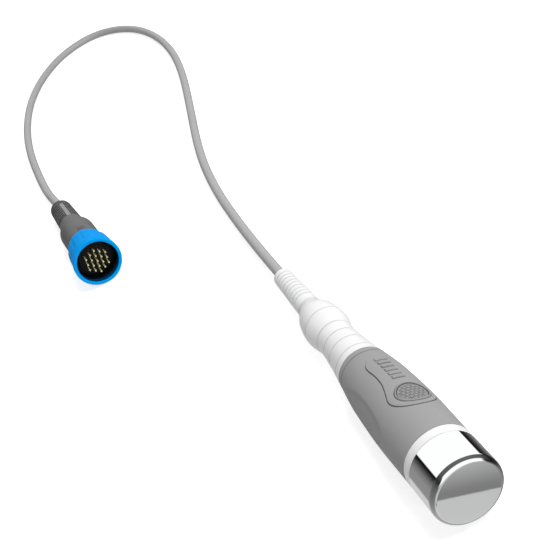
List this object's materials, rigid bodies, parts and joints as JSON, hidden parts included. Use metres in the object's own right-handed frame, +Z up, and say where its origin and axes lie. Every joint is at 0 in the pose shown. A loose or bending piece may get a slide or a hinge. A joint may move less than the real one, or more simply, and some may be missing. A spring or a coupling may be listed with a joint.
{
  "type": "ultrasound therapy head",
  "caption": "Hand-held ultrasound therapy head with a round metal treatment face, a soft grip with a thumb rest, and a cable ending in a round multi-pin plug with a coupling ring.",
  "frame": {"origin": "on the ground under the middle of the handle's box (handle with its boot, without the cable and plug)", "axes": "+Y along the handle from the treatment face to the cable's exit, +Z up from the ground that the head lies on, +X to the right seen from behind the treatment face's back, the side that the thumb panel is turned to"},
  "size_m": [0.1627, 0.7404, 0.0376],
  "materials": {
    "chrome": "mirror polished, dark and bright reflections",
    "white_plastic": "smooth near-white, soft shine",
    "sleeve_grey": "soft matte grip, fine grain",
    "cable_grey": "smooth flexible jacket, dull shine",
    "crystal_silvered": "silvered ceramic disc",
    "spring_steel": "bright wire and spring sheet",
    "black_rubber": "matte black",
    "natural_plastic": "undyed insulating plastic",
    "board_green": "green board with a dull lacquer",
    "copper_winding": "lacquered copper",
    "capacitor_tan": "tan moulded body",
    "red_wire": "red insulation",
    "coupling_blue": "bright blue, satin",
    "black_plastic": "dull black",
    "gold_contact": "gold plated, polished",
    "shell_grey": "mid-grey, satin",
    "boot_dark_grey": "dark grey, soft matte"
  },
  "bodies": {
    "root": {"cable": "cable_grey", "cable_boot": "white_plastic", "cable_clamp": "natural_plastic", "cable_cores": "red_wire", "cable_tail": "cable_grey", "cap_o_ring": "black_rubber", "contact_pin_01": "gold_contact", "contact_pin_02": "gold_contact", "contact_pin_03": "gold_contact", "contact_pin_04": "gold_contact", "contact_pin_05": "gold_contact", "contact_pin_06": "gold_contact", "contact_pin_07": "gold_contact", "contact_pin_08": "gold_contact", "contact_pin_09": "gold_contact", "contact_pin_10": "gold_contact", "contact_pin_11": "gold_contact", "contact_pin_12": "gold_contact", "contact_pin_13": "gold_contact", "contact_pin_14": "gold_contact", "contact_pin_15": "gold_contact", "contact_pin_16": "gold_contact", "contact_pin_17": "gold_contact", "contact_pin_18": "gold_contact", "contact_pin_19": "gold_contact", "contact_plate": "board_green", "contact_spring": "spring_steel", "crystal_lead_1": "red_wire", "crystal_lead_2": "black_rubber", "crystal_retainer": "natural_plastic", "front_collar": "white_plastic", "grip_sleeve": "sleeve_grey", "housing": "white_plastic", "matching_board": "board_green", "piezo_disc": "crystal_silvered", "pin_insert": "black_plastic", "plug_backshell": "shell_grey", "plug_barrel": "black_plastic", "plug_boot": "boot_dark_grey", "plug_clamp": "natural_plastic", "plug_cores": "red_wire", "plug_tail": "cable_grey", "ring_clip": "spring_steel", "transducer_cap": "chrome", "tuning_capacitor": "capacitor_tan", "tuning_coil": "copper_winding"},
    "coupling_ring": {"coupling_ring": "coupling_blue"}
  },
  "joints": [
    {"name": "coupling_ring_turn", "type": "hinge", "parent": "root", "child": "coupling_ring", "pos_m": [-0.0887, 0.2186, 0.01643], "axis": [-0.0619, 0.995, -0.0786], "range_deg": [0, 90]}
  ]
}
